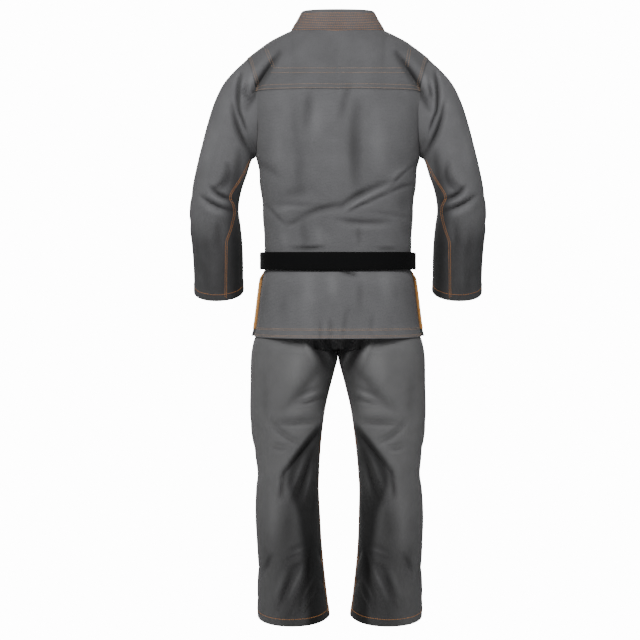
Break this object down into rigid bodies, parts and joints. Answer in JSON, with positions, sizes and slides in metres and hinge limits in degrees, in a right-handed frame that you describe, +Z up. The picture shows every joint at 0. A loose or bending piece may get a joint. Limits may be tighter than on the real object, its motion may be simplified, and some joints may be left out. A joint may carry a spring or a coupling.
{
  "type": "judo uniform",
  "caption": "Worn-shape judo uniform: woven wrap jacket with stitched collar band, tied belt and loose trousers, hollow for the wearer's body.",
  "frame": {"origin": "middle of the neck opening, level with the collar's base, where the wearer's shoulders hold the uniform", "axes": "+X the wearer's left, -Y the front, +Y the back, +Z up"},
  "size_m": [0.692, 0.2826, 1.4127],
  "materials": {
    "jacket_cloth": "grey pearl-weave cotton with orange top-stitching, matt",
    "trouser_cloth": "grey plain-weave cotton, matt",
    "black_belt": "black cotton, stitched in rows, matt",
    "orange_tape": "orange cotton tape, matt"
  },
  "bodies": {
    "root": {"back_panel": "jacket_cloth", "front_left": "jacket_cloth", "front_right": "jacket_cloth", "shoulder_yoke": "jacket_cloth", "sleeve_left": "jacket_cloth", "sleeve_right": "jacket_cloth", "collar_band": "jacket_cloth", "vent_tape_left": "orange_tape", "vent_tape_right": "orange_tape", "belt_inner_turn": "black_belt", "belt_outer_turn": "black_belt", "belt_knot": "black_belt", "belt_end_left": "black_belt", "belt_end_right": "black_belt", "trouser_left": "trouser_cloth", "trouser_right": "trouser_cloth", "waistband": "trouser_cloth"}
  },
  "joints": []
}
